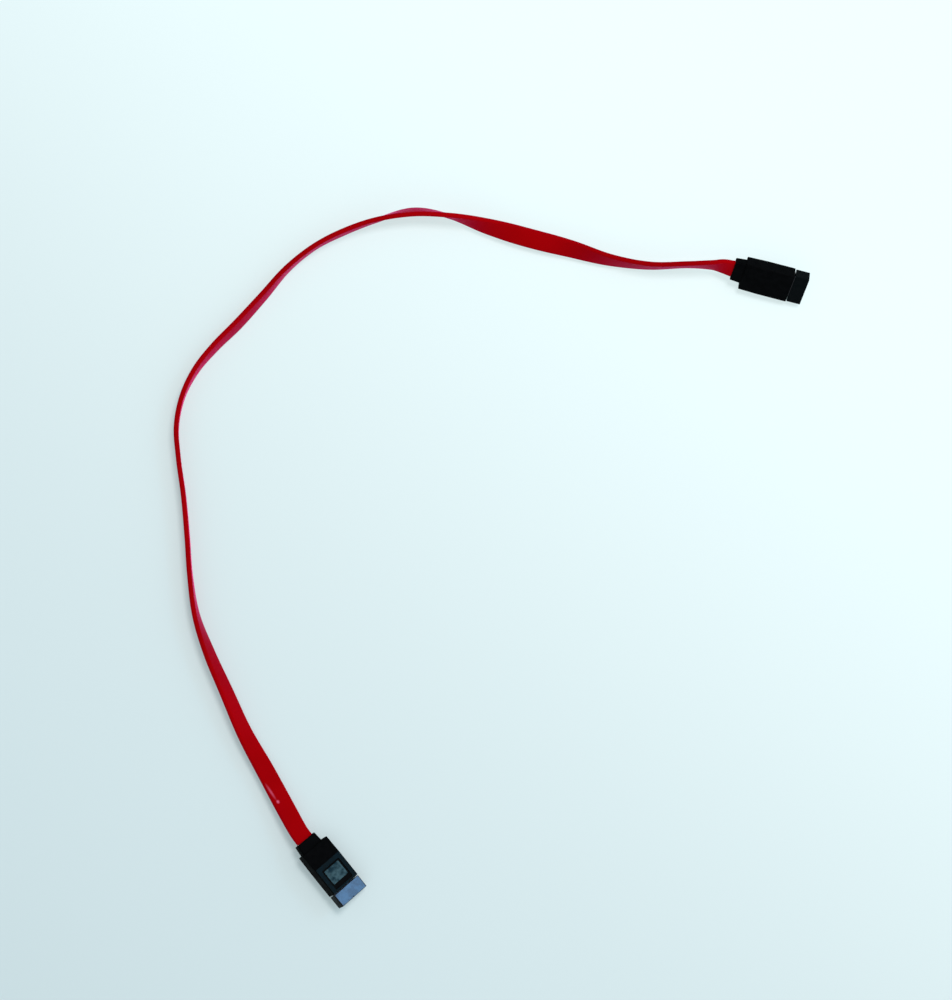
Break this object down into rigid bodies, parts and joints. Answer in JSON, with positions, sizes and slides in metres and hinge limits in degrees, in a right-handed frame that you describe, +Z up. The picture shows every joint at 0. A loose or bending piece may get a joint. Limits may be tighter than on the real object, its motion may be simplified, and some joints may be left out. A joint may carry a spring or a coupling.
{
  "type": "sata data cable",
  "caption": "Flat red ribbon data cable with a straight black keyed receptacle moulded on each end, for linking a storage drive to a computer board.",
  "frame": {"origin": "on the surface that the cable lies on, under the middle of the box round its two receptacles", "axes": "+Z up, +Y along the longer side of the box round the receptacles, from the left receptacle towards the right one, with the ribbon bowed out to -X and +Y"},
  "size_m": [0.2623, 0.2889, 0.0144],
  "materials": {
    "jacket": "red flexible jacket, satin gloss",
    "overmould": "black soft overmould, fine satin",
    "housing": "black moulded housing, semi-gloss",
    "contact": "gold-plated spring strip",
    "signal_core": "natural white core insulation",
    "ground_wire": "tinned copper",
    "termination_cap": "natural translucent plastic"
  },
  "bodies": {
    "root": {"ribbon_cable": "jacket", "left_overmould": "overmould", "left_contact_housing": "housing", "left_contact_1": "contact", "left_contact_2": "contact", "left_contact_3": "contact", "left_contact_4": "contact", "left_contact_5": "contact", "left_contact_6": "contact", "left_contact_7": "contact", "left_ground_wire_1": "ground_wire", "left_signal_core_2": "signal_core", "left_signal_core_3": "signal_core", "left_ground_wire_4": "ground_wire", "left_signal_core_5": "signal_core", "left_signal_core_6": "signal_core", "left_ground_wire_7": "ground_wire", "left_termination_cap": "termination_cap", "left_jacket_end": "jacket", "right_overmould": "overmould", "right_contact_housing": "housing", "right_contact_1": "contact", "right_contact_2": "contact", "right_contact_3": "contact", "right_contact_4": "contact", "right_contact_5": "contact", "right_contact_6": "contact", "right_contact_7": "contact", "right_ground_wire_1": "ground_wire", "right_signal_core_2": "signal_core", "right_signal_core_3": "signal_core", "right_ground_wire_4": "ground_wire", "right_signal_core_5": "signal_core", "right_signal_core_6": "signal_core", "right_ground_wire_7": "ground_wire", "right_termination_cap": "termination_cap", "right_jacket_end": "jacket"}
  },
  "joints": []
}
